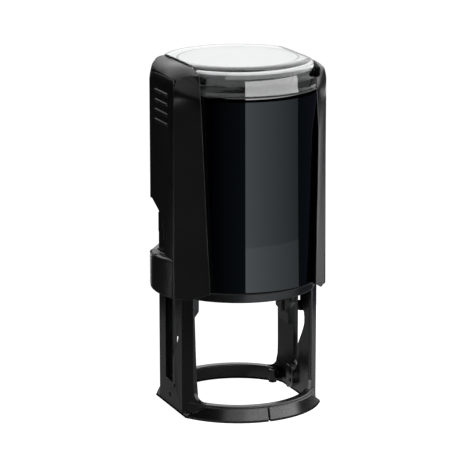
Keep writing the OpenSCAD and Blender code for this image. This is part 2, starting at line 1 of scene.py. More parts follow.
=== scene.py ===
"""Looks of a self inking stamp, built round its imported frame: pieces, finishes, stage and camera.

Lengths are in metres. The frame stands on Z 0, the glossy front faces -Y, the uprights are at -X and +X.
"""

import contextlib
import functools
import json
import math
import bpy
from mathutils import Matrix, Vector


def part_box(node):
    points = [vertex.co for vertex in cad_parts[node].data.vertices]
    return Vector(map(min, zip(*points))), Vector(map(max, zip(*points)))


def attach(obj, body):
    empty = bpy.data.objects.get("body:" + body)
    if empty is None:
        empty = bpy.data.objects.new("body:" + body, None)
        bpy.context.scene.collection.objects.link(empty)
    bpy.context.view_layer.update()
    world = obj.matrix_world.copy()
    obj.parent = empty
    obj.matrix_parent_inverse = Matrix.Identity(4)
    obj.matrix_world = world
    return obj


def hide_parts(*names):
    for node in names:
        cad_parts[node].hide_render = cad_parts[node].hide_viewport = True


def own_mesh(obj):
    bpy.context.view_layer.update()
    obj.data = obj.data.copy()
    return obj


bl_info = {
    "name": "Self Inking Stamp",
    "version": (1, 0, 0),
    "blender": (4, 5, 0),
    "location": "View3D > Sidebar > Stamp",
    "description": "Builds the pieces, finishes, stage and camera of a self inking stamp",
    "category": "Object",
}

import bmesh
import bpy
import numpy as np
from mathutils import Vector

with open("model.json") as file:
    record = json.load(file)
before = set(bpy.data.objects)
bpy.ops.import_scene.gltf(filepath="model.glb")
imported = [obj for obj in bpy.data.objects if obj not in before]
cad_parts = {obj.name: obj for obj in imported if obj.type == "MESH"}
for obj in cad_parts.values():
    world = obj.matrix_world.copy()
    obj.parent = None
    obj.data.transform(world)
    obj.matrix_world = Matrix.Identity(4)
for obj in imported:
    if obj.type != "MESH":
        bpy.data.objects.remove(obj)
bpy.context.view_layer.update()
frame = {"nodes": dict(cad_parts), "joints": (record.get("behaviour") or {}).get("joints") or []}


def low(node):
    """Lowest corner of a CAD node at rest."""
    return np.array(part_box(node)[0])


def high(node):
    """Highest corner of a CAD node at rest."""
    return np.array(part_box(node)[1])


# Sizes that the frame gives
POST_OUT = high("right_upright")[0]
HOUSE_R = -low("front_panel")[1]
HOUSE_TOP = high("clear_cap")[2]
CAP_LOW = low("clear_cap")[2]
CAP_HALF = high("clear_cap")[0]
FLAT_X = high("housing_shell")[0]
HOUSE_LOW = low("housing_shell")[2]
PANEL_LOW = low("front_panel")[2]
PANEL_TOP = high("front_panel")[2]
STROKE = next(joint for joint in frame["joints"] if joint["name"] == "press")["range_m"][1]
# The bearing bands' upper edge in the frame
BAND_TOP = HOUSE_LOW + 0.012
# Points this near to each other are one point, and points of the frame this near to an edge lie on it
WELD = 2e-7
TOUCH = 1e-6
CLOSE = 1e-5
# Faces that meet at less than this angle lie in one plane
FLAT_ANGLE = math.radians(0.5)
# A flat with more corners than this keeps its triangles
MOST_CORNERS = 8
# Faces of the frame that meet at more than this angle, in degrees, show a crease
FRAME_CREASE = 12
# Steps round a disc
ROUND_STEPS = 160


# Kinds of value that a user may change
length_prop = functools.partial(bpy.props.FloatProperty, unit="LENGTH")
angle_prop = functools.partial(bpy.props.FloatProperty, subtype="ANGLE")
colour_prop = functools.partial(bpy.props.FloatVectorProperty, subtype="COLOR")


class StampSizes(bpy.types.PropertyGroup):
    """Sizes of the finished edges and of the pieces that are formed here."""

    edge: length_prop(name="Moulded edge", description="Rounding of the moulded edges", default=0.00018)
    house_edge: length_prop(
        name="Housing edge", description="Rounding of the housing's edges", default=0.0003)
    panel_edge: length_prop(
        name="Panel edge", description="Rounding of the glossy panels' edges", default=0.00022)
    panel_wall: length_prop(name="Panel wall", description="Thickness of the glossy panels", default=0.0008)
    panel_lean: length_prop(
        name="Panel lean", description="How far the front panel leans in at its lower edge",
        default=0.00009)
    panel_crease: length_prop(
        name="Panel crease", description="Height at which the front panel starts to lean in",
        default=0.0453)
    panel_spread: length_prop(
        name="Panel spread", description="How far the panels' bays widen on each side at the lower edge",
        default=0.00092)
    facet_half: length_prop(
        name="Facet start", description="Distance of the corner facets' outer edges from the middle plane",
        default=0.0091)
    facet_slope: bpy.props.FloatProperty(
        name="Facet slope", description="Rise of the corner facets towards the front for each step inwards",
        default=1.365)
    foot_flare: length_prop(
        name="Foot flare", description="Spread of the foot's flat sides towards the floor", default=0.00015)
    foot_lap: length_prop(
        name="Foot lap", description="How deep the uprights stand in the foot", default=0.0006)
    cap_edge: length_prop(
        name="Cap edge", description="Rounding of the clear cap's upper edge", default=0.003)
    cap_top: length_prop(name="Cap top", description="Thickness of the clear cap's top", default=0.0015)
    cap_skirt: length_prop(
        name="Cap skirt", description="Thickness of the clear cap's skirts", default=0.001)
    cap_lean: angle_prop(
        name="Cap lean", description="Lean of the clear cap's skirts towards the top",
        default=math.radians(6.0))
    cap_rim: length_prop(
        name="Cap rim", description="Rounding of the clear cap's other edges", default=0.00025)
    card_slit: length_prop(
        name="Card slit", description="Slit between the round card and its white surround", default=0.0003)
    band_drop: length_prop(
        name="Band drop", description="How far the bearing bands' upper edge lies under the frame's",
        default=0.0013)
    band_tilt: length_prop(
        name="Band tilt", description="How far that edge falls from the front facets to the rear ones",
        default=0.0014)
    band_edge: length_prop(
        name="Band edge", description="Rounding of the bearing bands' upper edge", default=0.0009)
    rubber_edge: length_prop(
        name="Rubber edge", description="Rounding of the die's raised lines", default=0.00008)
    spring_turns: bpy.props.IntProperty(
        name="Spring turns", description="Number of the return spring's turns, its closed ends included",
        default=8, min=4, max=12)


class StampColours(bpy.types.PropertyGroup):
    """Base colours of the finishes."""

    frame_black: colour_prop(
        name="Frame", description="Satin black of the frame", default=(0.0045, 0.0045, 0.0048))
    housing_black: colour_prop(
        name="Housing", description="Matte black of the housing", default=(0.003, 0.003, 0.0032))
    grip_black: colour_prop(
        name="Grips", description="Matte black of the side grips", default=(0.0025, 0.0025, 0.0027))
    gloss_black: colour_prop(
        name="Panels", description="Gloss black of the panels", default=(0.0015, 0.0018, 0.0022))
    card_white: colour_prop(name="Card", description="White of the index card", default=(0.86, 0.86, 0.85))
    # Dark painted on the card at the slit: painted shade in the slit, as dark as the black tray under it
    slit_painted_shade: colour_prop(
        name="Slit", description="Dark of the slit round the card", default=(0.02, 0.02, 0.02))
    felt_ink: colour_prop(name="Felt", description="Ink in the felt", default=(0.012, 0.013, 0.024))
    steel: colour_prop(name="Steel", description="Drawn steel", default=(0.56, 0.57, 0.58))
    foam: colour_prop(name="Foam", description="Foam under the die", default=(0.68, 0.62, 0.5))
    rubber: colour_prop(name="Rubber", description="Rubber of the die", default=(0.3, 0.09, 0.06))


class StampStage(bpy.types.PropertyGroup):
    """Camera, floor and lights."""

    azimuth: angle_prop(
        name="Azimuth", description="Camera's turn round the stamp from its front",
        default=math.radians(-22.115))
    elevation: angle_prop(
        name="Elevation", description="Camera's angle over the floor", default=math.radians(13.7))
    distance: length_prop(
        name="Distance", description="Camera's distance from the aim point", default=0.6769)
    aim: bpy.props.FloatVectorProperty(
        name="Aim", description="Point that the camera looks at", subtype="TRANSLATION",
        default=(-0.00068, 0.00028, 0.04579))
    lens: bpy.props.FloatProperty(
        name="Lens", description="Focal length in millimetres on a 36 mm sensor", default=193.04)
    floor_tone: bpy.props.FloatProperty(
        name="Floor", description="Own brightness of the pale floor", default=0.97)


def sizes():
    """Sizes of the user's choice."""
    return bpy.context.scene.stamp_sizes


def hue(name):
    """Colour of the user's choice as an array."""
    return np.array(getattr(bpy.context.scene.stamp_colours, name))


# Meshes from arrays


def grid_faces(rows, cols, wrap_rows=False, wrap_cols=False):
    """Quads of a grid with its points counted row by row. A wrapped side joins its last line to its first."""
    row = np.arange(rows - (not wrap_rows))[:, None] + np.zeros(cols - (not wrap_cols), int)
    col = np.arange(cols - (not wrap_cols)) + np.zeros_like(row)
    next_row = (row + 1) % rows
    next_col = (col + 1) % cols
    corners = [row * cols + col, row * cols + next_col, next_row * cols + next_col, next_row * cols + col]
    return np.stack(corners, -1).reshape(-1, 4)


def slab(outer, inner):
    """Points and quads of a closed plate: the outer grid, the inner grid, and a strip round their borders."""
    rows, cols = outer.shape[:2]
    count = rows * cols
    index = np.arange(count).reshape(rows, cols)
    border = np.concatenate([index[0, :-1], index[:-1, -1], index[-1, :0:-1], index[:0:-1, 0]])
    after = np.roll(border, -1)
    strip = np.stack([after, border, border + count, after + count], -1)
    faces = grid_faces(rows, cols)
    points = np.concatenate([outer.reshape(-1, 3), inner.reshape(-1, 3)])
    return points, np.concatenate([faces, faces[:, ::-1] + count, strip])


def joined(*shells):
    """Points and faces of several shells in one mesh: a shell's faces count on from the points before it."""
    starts = np.cumsum([0] + [len(points) for points, _ in shells])
    points = np.concatenate([points for points, _ in shells])
    return points, np.concatenate([faces + start for (_, faces), start in zip(shells, starts)])


def rounded(corners, radii, steps=6):
    """Outline of straight runs with its corners rounded.

    Each corner C becomes a curve from C + r u to C + r v, where u and v point along its two runs:
    (1 - t)^2 A + 2 t (1 - t) C + t^2 B. A radius of nought keeps the corner.
    """
    corner = np.asarray(corners, float)
    reach = np.asarray(radii, float)[:, None]
    before = np.roll(corner, 1, 0) - corner
    after = np.roll(corner, -1, 0) - corner
    start = corner + reach * before / np.linalg.norm(before, axis=1, keepdims=True)
    end = corner + reach * after / np.linalg.norm(after, axis=1, keepdims=True)
    t = np.linspace(0, 1, steps)[None, :, None]
    curve = (1 - t) ** 2 * start[:, None] + 2 * t * (1 - t) * corner[:, None] + t ** 2 * end[:, None]
    return curve.reshape(-1, corner.shape[1])


def lathe(profile, steps=128, axis=2, centre=(0, 0, 0)):
    """Points and quads of a closed profile of radius and height carried round an axis.

    The point at turn a is (r cos a, r sin a, h), with h along the axis.
    """
    turn = np.linspace(0, 2 * np.pi, steps, endpoint=False)[:, None]
    radius, height = profile[None, :, 0], profile[None, :, 1]
    parts = [radius * np.cos(turn), radius * np.sin(turn), height + 0 * turn]
    points = np.roll(np.stack(parts, -1), axis + 1, -1) + np.asarray(centre)
    return points.reshape(-1, 3), grid_faces(steps, len(profile), True, True)


def disc_profile(radius, bottom, top, edge):
    """Profile of a round plate with rounded rims, from the axis out and back."""
    corners = [(0, bottom), (radius, bottom), (radius, top), (0, top)]
    return rounded(corners, [0, edge, edge, 0])


@contextlib.contextmanager
def opened(mesh):
    """Gives a mesh out for editing and puts the result back into it."""
    shell = bmesh.new()
    shell.from_mesh(mesh)
    yield shell
    shell.to_mesh(mesh)
    shell.free()


def put(name, points, faces, body, slot, material, *nodes):
    """New piece from arrays: equal points are welded, faces turned outwards, and the CAD nodes hidden."""
    mesh = bpy.data.meshes.new(name)
    mesh.from_pydata(points.tolist(), [], faces.tolist())
    with opened(mesh) as shell:
        bmesh.ops.remove_doubles(shell, verts=shell.verts, dist=WELD)
        bmesh.ops.dissolve_degenerate(shell, edges=shell.edges, dist=WELD)
        bmesh.ops.recalc_face_normals(shell, faces=shell.faces)
    return settle(name, mesh, body, slot, material, *nodes)


def settle(name, mesh, body, slot, material, *nodes):
    """Puts a mesh into the scene as a smooth piece that rides on a body and stands for CAD nodes."""
    mesh.shade_smooth()
    mesh.materials.clear()
    mesh.materials.append(material)
    piece = bpy.data.objects.new(name, mesh)
    bpy.context.scene.collection.objects.link(piece)
    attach(piece, body)
    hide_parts(*nodes)
    return piece


def is_flat(edge):
    """Whether the two faces at an edge lie in one plane."""
    return edge.is_manifold and edge.calc_face_angle() < FLAT_ANGLE


def room_beside(edge):
    """Narrower of the two faces at an edge, measured square to it. A flat with a hole counts as wide."""
    start = edge.verts[0].co
    run = (edge.verts[1].co - start).normalized()
    widths = []
    for face in edge.link_faces:
        wide = any(is_flat(side) for side in face.edges)
        widths.append(1.0 if wide else max((corner.co - start).cross(run).length for corner in face.verts))
    return min(widths)


def soften(piece, width, angle=40, segments=2, broad=0.0, is_broad=None, crease=180):
    """Rounds the sharp edges of a piece over the given width, or over half of a face that is narrower.

    Edges for which is_broad holds are rounded over the broad width. Flatter edges stay as sharp creases where
    the faces meet at more than the crease angle. Angles are in degrees.
    """
    most = max(width, broad)
    with opened(piece.data) as shell:
        weight = shell.edges.layers.float.new("bevel_weight_edge")
        for edge in shell.edges:
            turn = edge.calc_face_angle() if edge.is_manifold else 0.0
            if turn > math.radians(angle):
                wanted = broad if is_broad and is_broad(edge) else width
                edge[weight] = min(wanted, room_beside(edge) / 2) / most
            elif turn > math.radians(crease):
                edge.smooth = False
    bevel = piece.modifiers.new("rounded_edges", "BEVEL")
    bevel.width = most
    bevel.segments = segments
    bevel.limit_method = "WEIGHT"
    bevel.use_clamp_overlap = False
    bevel.harden_normals = True
    bevel.miter_outer = "MITER_ARC"
    return piece


def corners_of(mesh):
    """Corners of a mesh as an array with a row for each."""
    points = np.empty(len(mesh.vertices) * 3)
    mesh.vertices.foreach_get("co", points)
    return points.reshape(-1, 3)


def solid(node):
    """Corners of a CAD node."""
    return corners_of(frame["nodes"][node].data)


def half_widths(points):
    """Half width of a solid at its lower edge, and its greatest one."""
    out = np.abs(points[:, 0])
    return out[points[:, 2] < points[:, 2].min() + TOUCH].max(), out.max()


def flats_of(shell):
    """Stretches of faces that lie in one plane, each as a list of faces."""
    seen = set()
    flats = []
    for face in shell.faces:
        if face in seen:
            continue
        flat, queue = [], [face]
        seen.add(face)
        while queue:
            flat.append(queue.pop())
            across = {other for edge in flat[-1].edges if is_flat(edge) for other in edge.link_faces}
            queue.extend(across - seen)
            seen |= across
        flats.append(flat)
    return flats


def copy_of(node):
    """Mesh with a CAD node's corners: equal ones are joined, and a flat without a hole becomes one face."""
    source = frame["nodes"][node].data
    points = corners_of(source)
    corners = np.empty(len(source.loops), int)
    source.loops.foreach_get("vertex_index", corners)
    cells = np.round(points / TOUCH).astype(int)
    _, first, place = np.unique(cells, axis=0, return_index=True, return_inverse=True)
    mesh = bpy.data.meshes.new(node)
    mesh.from_pydata(points[first].tolist(), [], place.ravel()[corners].reshape(-1, 3).tolist())
    with opened(mesh) as shell:
        bmesh.ops.dissolve_degenerate(shell, edges=shell.edges, dist=TOUCH)
        inner = set()
        for flat in flats_of(shell):
            edges = {edge for face in flat for edge in face.edges}
            verts = {vert for face in flat for vert in face.verts}
            # Corners less edges plus faces is 1 for a stretch without a hole
            if len(verts) - len(edges) + len(flat) == 1 and len(verts) <= MOST_CORNERS:
                inner.update(edge for edge in edges if is_flat(edge))
        # A set has no order of its own, and a fixed order gives the same faces in every run
        shell.verts.index_update()
        ordered = sorted(inner, key=lambda edge: sorted(corner.index for corner in edge.verts))
        bmesh.ops.dissolve_edges(shell, edges=ordered, use_verts=False)
    return mesh


def recast(name, node, body, slot, material, width, *moves, **edges):
    """Piece from a copy of a CAD node: the moves shift its corners, and its edges are rounded."""
    mesh = copy_of(node)
    points = corners_of(mesh)
    for move in moves:
        move(points)
    mesh.vertices.foreach_set("co", points.ravel())
    return soften(settle(name, mesh, body, slot, material, node), width, **edges)


# Finishes


def shared_group(make):
    """Wraps a function that makes a group of nodes, so that the group of its name is made only once."""
    @functools.wraps(make)
    def found():
        return bpy.data.node_groups.get(make.__name__) or make()
    return found


def finish(make):
    """Wraps a function that dresses a shader, so that the finish of its name is made only once."""
    @functools.wraps(make)
    def found():
        material = bpy.data.materials.get(make.__name__)
        if material is None:
            material, tree, coords = blank(make.__name__)
            make(tree, coords)
        return material
    return found


def group_of(name, inputs, outputs):
    """Shader group that takes a Vector and named values, with the sockets at its two ends."""
    group = bpy.data.node_groups.new(name, "ShaderNodeTree")
    group.interface.new_socket("Vector", in_out="INPUT", socket_type="NodeSocketVector")
    for label, value in inputs.items():
        socket = group.interface.new_socket(label, in_out="INPUT", socket_type="NodeSocketFloat")
        socket.default_value = value
    for label, kind in outputs.items():
        group.interface.new_socket(label, in_out="OUTPUT", socket_type=kind)
    return group, group.nodes.new("NodeGroupInput").outputs, group.nodes.new("NodeGroupOutput").inputs


def set_inputs(tree, node, inputs):
    """Each input, by number or name, takes a value or is linked to a socket."""
    for key, value in inputs.items():
        if isinstance(value, bpy.types.NodeSocket):
            tree.links.new(value, node.inputs[key])
        else:
            node.inputs[key].default_value = value


def node_in(tree, kind, inputs, **settings):
    """New node with its settings and inputs."""
    node = tree.nodes.new(kind)
    for label, value in settings.items():
        setattr(node, label, value)
    set_inputs(tree, node, inputs)
    return node


def reckon(tree, operation, *terms, clamp=False):
    """Result of a sum on values or sockets."""
    terms = dict(enumerate(terms))
    return node_in(tree, "ShaderNodeMath", terms, operation=operation, use_clamp=clamp).outputs[0]


def reckon_vector(tree, operation, *terms):
    """Outputs of a sum on vectors."""
    return node_in(tree, "ShaderNodeVectorMath", dict(enumerate(terms)), operation=operation).outputs


def noise_in(tree, vector, **inputs):
    """Value of a noise at a vector."""
    return node_in(tree, "ShaderNodeTexNoise", {"Vector": vector, **inputs}).outputs["Fac"]


def split_in(tree, vector):
    """X, Y and Z of a vector."""
    return node_in(tree, "ShaderNodeSeparateXYZ", {0: vector}).outputs


def stretched(tree, vector, scale):
    """Vector times a scale in each direction."""
    return node_in(tree, "ShaderNodeMapping", {"Vector": vector, "Scale": scale}).outputs["Vector"]


def ranged(tree, value, start=(0.0, 1.0), end=(0.0, 1.0)):
    """Value that goes over the range end as the given one goes over the range start."""
    limits = {"From Min": start[0], "From Max": start[1], "To Min": end[0], "To Max": end[1]}
    return node_in(tree, "ShaderNodeMapRange", {"Value": value, **limits}).outputs["Result"]


def between(tree, fac, first, second):
    """Colour that goes from first to second with fac. Each of the two is a colour or a socket."""
    ends = [end if isinstance(end, bpy.types.NodeSocket) else (*end, 1.0) for end in (first, second)]
    inputs = {"Factor": fac, "A": ends[0], "B": ends[1]}
    return node_in(tree, "ShaderNodeMix", inputs, data_type="RGBA").outputs["Result"]


def uneven(tree, fac, colour, dark, light):
    """Colour that goes with fac from dark times to light times its value."""
    return between(tree, fac, colour * dark, colour * light)


def blank(name):
    """New material, its node tree and its Object coordinates."""
    material = bpy.data.materials.new(name)
    material.use_nodes = True
    tree = material.node_tree
    return material, tree, tree.nodes.new("ShaderNodeTexCoord").outputs["Object"]


def shade(tree, sockets):
    """Sets or links inputs of the shader by name."""
    set_inputs(tree, tree.nodes["Principled BSDF"], sockets)


def dress(tree, colour, mask, height, rough, strength, depth, normal=None):
    """Gives the shader a colour, a roughness over the range rough with a mask, and a bump of a height."""
    bump = {"Strength": strength, "Distance": depth, "Height": height}
    if normal is not None:
        bump["Normal"] = normal
    shade(tree, {"Base Color": colour, "Roughness": ranged(tree, mask, end=rough),
                 "Normal": node_in(tree, "ShaderNodeBump", bump).outputs["Normal"]})


def placed(tree, group, coords, **values):
    """Outputs of a shared group placed in a material with its own values."""
    return node_in(tree, "ShaderNodeGroup", {"Vector": coords, **values}, node_tree=group).outputs


@shared_group
def moulded_grain():
    """Group: fine spark texture of a mould and a broad unevenness of its tone.

    Height is a fine noise, Tone a noise that is breadth times as broad, both from 0 to 1.
    """
    breadth = 40.0
    group, given, result = group_of(
        "moulded_grain", {"Scale": 4000.0}, {"Height": "NodeSocketFloat", "Tone": "NodeSocketFloat"})
    wider = reckon(group, "DIVIDE", given["Scale"], breadth)
    fine = noise_in(group, given["Vector"], Scale=given["Scale"], Detail=2.0, Roughness=0.6)
    broad = noise_in(group, given["Vector"], Scale=wider, Detail=3.0, Roughness=0.5)
    group.links.new(fine, result["Height"])
    group.links.new(broad, result["Tone"])
    return group


@shared_group
def rubbed_and_highlit_edges():
    """Group: mask of the edges, from 0 to 1, for rubbed wear and a painted highlight along them.

    The mask grows as the normal rounded over Radius turns away from the true one, broken up by a noise.
    """
    group, given, result = group_of(
        "rubbed_and_highlit_edges", {"Radius": 0.0004, "Gain": 4.0}, {"Mask": "NodeSocketFloat"})
    bevel = node_in(group, "ShaderNodeBevel", {"Radius": given["Radius"]}, samples=4)
    true = node_in(group, "ShaderNodeNewGeometry", {})
    alike = reckon_vector(group, "DOT_PRODUCT", bevel.outputs["Normal"], true.outputs["Normal"])["Value"]
    turned = reckon(group, "SUBTRACT", 1.0, alike)
    gained = reckon(group, "MULTIPLY", turned, given["Gain"], clamp=True)
    patches = noise_in(group, given["Vector"], Scale=260.0, Detail=4.0)
    group.links.new(reckon(group, "MULTIPLY", gained, patches, clamp=True), result["Mask"])
    return group


@shared_group
def crown_blend():
    """Group: normal of the housing, with the creases of its crown blended into one dome.

    Above Start the normal goes over to that of a dome: (x -+ Middle, Fall y, z - Start) made one long, where
    the face looks much the same way. Below it stays as it is.
    """
    group, given, result = group_of(
        "crown_blend", {"Middle": 0.0146, "Start": 0.086, "Fall": 0.21}, {"Normal": "NodeSocketVector"})
    least_out = 0.0005
    place = split_in(group, given["Vector"])
    true = node_in(group, "ShaderNodeNewGeometry", {}).outputs["Normal"]
    beyond = reckon(group, "SUBTRACT", reckon(group, "ABSOLUTE", place["X"]), given["Middle"])
    out = reckon(group, "MAXIMUM", beyond, least_out)
    across = reckon(group, "MULTIPLY", out, reckon(group, "SIGN", place["X"]))
    along = reckon(group, "MULTIPLY", place["Y"], given["Fall"])
    over = reckon(group, "SUBTRACT", place["Z"], given["Start"])
    up = reckon(group, "MAXIMUM", over, 0.0)
    dome = node_in(group, "ShaderNodeCombineXYZ", {"X": across, "Y": along, "Z": up}).outputs[0]
    unit = reckon_vector(group, "NORMALIZE", dome)["Vector"]
    alike = reckon_vector(group, "DOT_PRODUCT", unit, true)["Value"]
    agreed = ranged(group, alike, start=(0.55, 0.8))
    risen = ranged(group, over, start=(-0.003, 0.0015))
    share = reckon(group, "MULTIPLY", agreed, risen)
    mix = node_in(group, "ShaderNodeMix", {"Factor": share, "A": true, "B": unit}, data_type="VECTOR")
    group.links.new(reckon_vector(group, "NORMALIZE", mix.outputs["Result"])["Vector"], result["Normal"])
    return group


def moulded(tree, coords, colour, rough, scale, depth, lift, form=None):
    """Moulded plastic: grain in the bump, an uneven colour and roughness, and edges lighter by lift: rubbed
    wear and a painted highlight.

    A form is a group whose normal takes the place of the surface's own.
    """
    grain = placed(tree, moulded_grain(), coords, Scale=scale)
    edges = placed(tree, rubbed_and_highlit_edges(), coords, Radius=0.00025, Gain=6.0)
    plain = uneven(tree, grain["Tone"], colour, dark=0.8, light=1.25)
    # Edges lighter by lift: rubbed wear, and a painted highlight where the lift is large
    worn_and_highlit = between(tree, edges["Mask"], plain, colour + lift)
    normal = placed(tree, form, coords)["Normal"] if form else None
    dress(tree, worn_and_highlit, grain["Tone"], grain["Height"], rough, strength=0.35, depth=depth, normal=normal)


@finish
def satin_black(tree, coords):
    """Satin black of the frame and the die carrier."""
    moulded(tree, coords, hue("frame_black"), rough=(0.21, 0.31), scale=3500.0, depth=0.00002, lift=0.012)


@finish
def fine_matte_black(tree, coords):
    """Fine matte black of the housing, its crown blended into one dome."""
    # A lift of 0.15 paints the edges as thin light lines: a painted highlight
    moulded(tree, coords, hue("housing_black"), rough=(0.25, 0.35), scale=4200.0, depth=0.000025, lift=0.15,
            form=crown_blend())


@finish
def grip_matte_black(tree, coords):
    """Matte black of the side grips."""
    # A lift of 0.15 paints the edges as thin light lines: a painted highlight
    moulded(tree, coords, hue("grip_black"), rough=(0.27, 0.37), scale=3000.0, depth=0.00003, lift=0.15)


@finish
def tray_black(tree, coords):
    """Moulded black of the ink pad tray."""
    moulded(tree, coords, hue("frame_black"), rough=(0.35, 0.45), scale=3000.0, depth=0.00003, lift=0.01)


@finish
def gloss_black(tree, coords):
    """High gloss black: a faint haze of handling in the roughness and a faint ripple of the moulding."""
    haze = placed(tree, moulded_grain(), coords, Scale=2600.0)["Tone"]
    tint = uneven(tree, haze, hue("gloss_black"), dark=0.85, light=1.15)
    ripple = noise_in(tree, coords, Scale=90.0, Detail=1.0)
    dress(tree, tint, haze, ripple, rough=(0.008, 0.03), strength=0.04, depth=0.00005)


@finish
def clear_polished(tree, coords):
    """Clear polished plastic with a faint moulding ripple and a little haze."""
    clear = (0.97, 0.985, 0.99, 1.0)
    shade(tree, {"Transmission Weight": 1.0, "IOR": 1.49})
    haze = placed(tree, moulded_grain(), coords, Scale=1800.0)["Tone"]
    ripple = noise_in(tree, coords, Scale=120.0, Detail=1.0)
    dress(tree, clear, haze, ripple, rough=(0.0, 0.05), strength=0.05, depth=0.00004)


@finish
def white_paper(tree, coords):
    """White paper card: short fibres in the bump and a faint unevenness of the white."""
    fibre = noise_in(tree, stretched(tree, coords, (1.0, 3.0, 1.0)), Scale=2200.0, Detail=4.0)
    # A narrow dark ring is painted on the card at its radius, where the slit lies: painted shade in the slit,
    # as dark as the black tray under it
    flat = reckon_vector(tree, "MULTIPLY", coords, (1.0, 1.0, 0.0))["Vector"]
    radius = reckon_vector(tree, "LENGTH", flat)["Value"]
    ring = reckon(tree, "COMPARE", radius, float(high("index_card")[0]), sizes().card_slit)
    white = uneven(tree, fibre, hue("card_white"), dark=0.97, light=1.02)
    # Painted shade of the slit over the white
    with_slit_shade = between(tree, ring, white, hue("slit_painted_shade"))
    dress(tree, with_slit_shade, fibre, fibre, rough=(0.6, 0.8), strength=0.3, depth=0.00002)


@finish
def soaked_felt(tree, coords):
    """Felt soaked with ink: matted fibres, wet where they lie low."""
    matted = noise_in(tree, coords, Scale=1500.0, Detail=6.0, Roughness=0.75)
    tint = uneven(tree, matted, hue("felt_ink"), dark=0.5, light=1.8)
    dress(tree, tint, matted, matted, rough=(0.4, 0.95), strength=0.9, depth=0.0002)


@finish
def drawn_steel(tree, coords):
    """Drawn steel: fine streaks in the roughness and the bump."""
    shade(tree, {"Metallic": 1.0})
    streak = noise_in(tree, stretched(tree, coords, (0.05, 1.0, 1.0)), Scale=6000.0, Detail=3.0)
    tint = uneven(tree, streak, hue("steel"), dark=0.9, light=1.05)
    dress(tree, tint, streak, streak, rough=(0.2, 0.36), strength=0.15, depth=0.00001)


@finish
def cell_foam(tree, coords):
    """Foam with open cells."""
    cells = node_in(tree, "ShaderNodeTexVoronoi", {"Vector": coords, "Scale": 2800.0}).outputs["Distance"]
    tint = uneven(tree, cells, hue("foam"), dark=0.6, light=1.1)
    dress(tree, tint, cells, cells, rough=(0.95, 0.75), strength=0.8, depth=0.00012)


@finish
def engraved_rubber(tree, coords):
    """Engraved rubber with traces of ink on what stands up."""
    grain = placed(tree, moulded_grain(), coords, Scale=2400.0)
    # The ink sets in at one depth below the top and is full at the other
    top, ink_low, ink_full = high("rubber_die")[2], 0.0004, 0.0001
    inked = ranged(tree, split_in(tree, coords)["Z"], start=(top - ink_low, top - ink_full))
    plain = uneven(tree, grain["Tone"], hue("rubber"), dark=0.85, light=1.15)
    printed = between(tree, inked, plain, hue("felt_ink"))
    dress(tree, printed, grain["Tone"], grain["Height"], rough=(0.5, 0.65), strength=0.3, depth=0.00003)


# Pieces


class STAMP_OT_foot_ring(bpy.types.Operator):
    """Foot ring with softened edges, its flat sides spreading towards the floor"""

    bl_idname = "stamp.foot_ring"
    bl_label = "Foot ring"

    def flared(self, points):
        """Moves the lowest corners of the flat sides out."""
        side = (np.abs(points[:, 0]) > POST_OUT - CLOSE) & (points[:, 2] < CLOSE)
        points[:, 0] += np.sign(points[:, 0]) * sizes().foot_flare * side

    def execute(self, context):
        recast("foot", "foot_ring", "frame", "frame_plastic", satin_black(),
               sizes().edge / 2, self.flared, crease=FRAME_CREASE)
        return {"FINISHED"}


class STAMP_OT_uprights(bpy.types.Operator):
    """Uprights with softened edges, standing in the foot ring"""

    bl_idname = "stamp.uprights"
    bl_label = "Uprights"

    def at_slot_foot(self, edge):
        """Whether an edge lies at the foot of the slot, where the axle needs the whole room."""
        room = 0.0005
        top = high("die_axle")[2] - STROKE
        bottom = low("die_axle")[2] - STROKE - room
        return all(bottom < corner.co.z < top for corner in edge.verts)

    def planted(self, points):
        """Moves the lowest corners down into the foot and in a little from its faces."""
        inset, width_share, depth_share = 0.0013, 0.98, 0.997
        base = points[:, 2] < points[:, 2].min() + TOUCH
        middle = np.sign(points[:, 0]) * (POST_OUT - inset)
        points[base, 0] = (middle + (points[:, 0] - middle) * width_share)[base]
        points[base, 1] *= depth_share
        points[base, 2] -= sizes().foot_lap

    def execute(self, context):
        for side in ("left", "right"):
            recast(f"{side}_post", f"{side}_upright", "frame", "frame_plastic", satin_black(),
                   sizes().edge / 2, self.planted, is_broad=self.at_slot_foot, crease=FRAME_CREASE)
        return {"FINISHED"}


